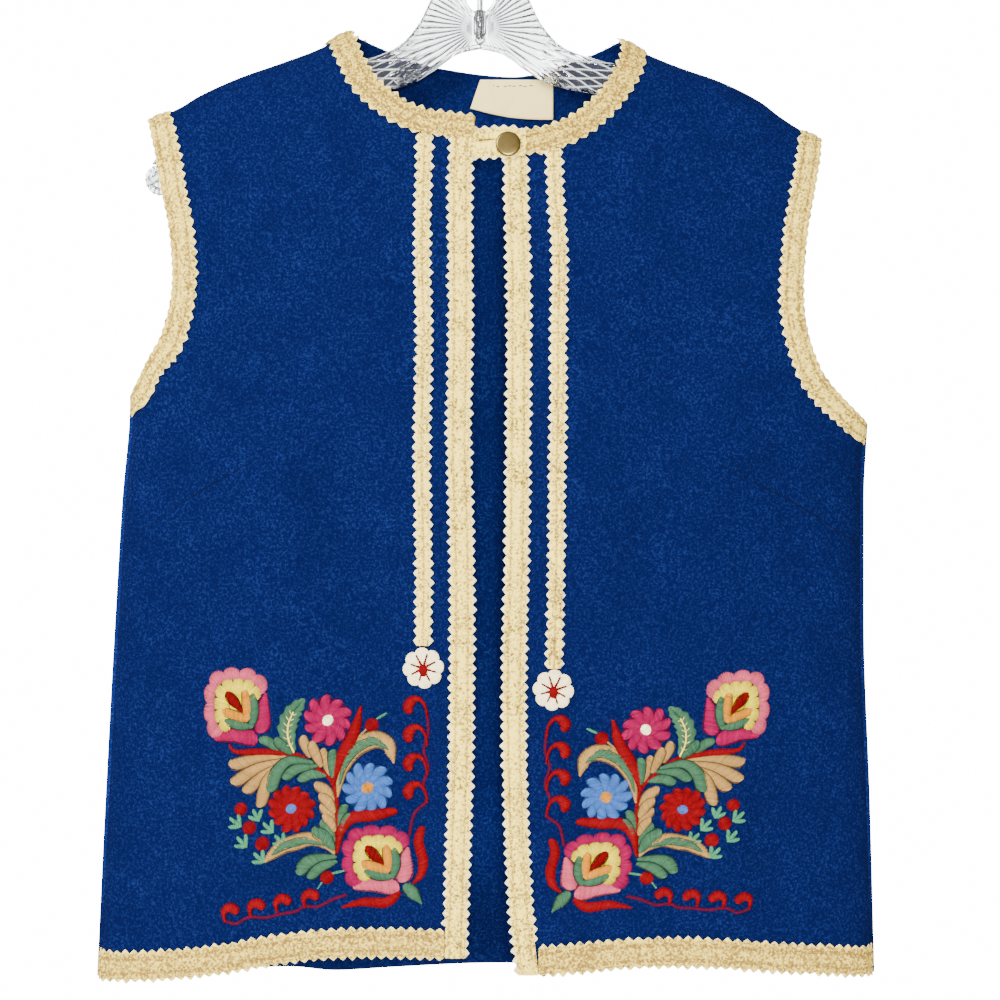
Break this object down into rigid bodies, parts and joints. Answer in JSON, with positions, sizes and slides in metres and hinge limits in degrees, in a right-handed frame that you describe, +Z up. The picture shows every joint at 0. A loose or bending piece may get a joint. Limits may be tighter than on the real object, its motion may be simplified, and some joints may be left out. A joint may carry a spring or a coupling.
{
  "type": "embroidered folk vest on a clear hanger",
  "caption": "Sleeveless felted wool vest with pinked felt bands, button tab and felt flowers, hanging flat on a moulded hanger with a wire hook.",
  "frame": {"origin": "inside top of the hanger's hook, where a rail holds it", "axes": "+Z up, -Y the front of the vest, +X to the wearer's left"},
  "size_m": [0.5041, 0.0766, 0.7394],
  "materials": {
    "blue_wool": "royal blue felted wool with fine pale mottling",
    "cream_felt": "cream wool felt, pinked edges",
    "white_felt": "white felt with red thread rays",
    "button_metal": "brushed antique brass colour, domed",
    "label_tape": "plain cream cotton tape, bare",
    "clear_plastic": "clear moulded polystyrene with radiating ribs",
    "hook_wire": "bright plated steel wire"
  },
  "bodies": {
    "root": {"right_front": "blue_wool", "left_front": "blue_wool", "back_panel": "blue_wool", "right_neck_band": "cream_felt", "left_neck_band": "cream_felt", "back_neck_band": "cream_felt", "right_centre_band": "cream_felt", "left_centre_band": "cream_felt", "right_narrow_band": "cream_felt", "left_narrow_band": "cream_felt", "right_armhole_band_front": "cream_felt", "left_armhole_band_front": "cream_felt", "right_armhole_band_back": "cream_felt", "left_armhole_band_back": "cream_felt", "right_hem_band": "cream_felt", "left_hem_band": "cream_felt", "back_hem_band": "cream_felt", "button_tab": "cream_felt", "right_flower": "white_felt", "left_flower": "white_felt", "button": "button_metal", "neck_label": "label_tape", "hanger_body": "clear_plastic", "hanger_hook": "hook_wire"}
  },
  "joints": []
}
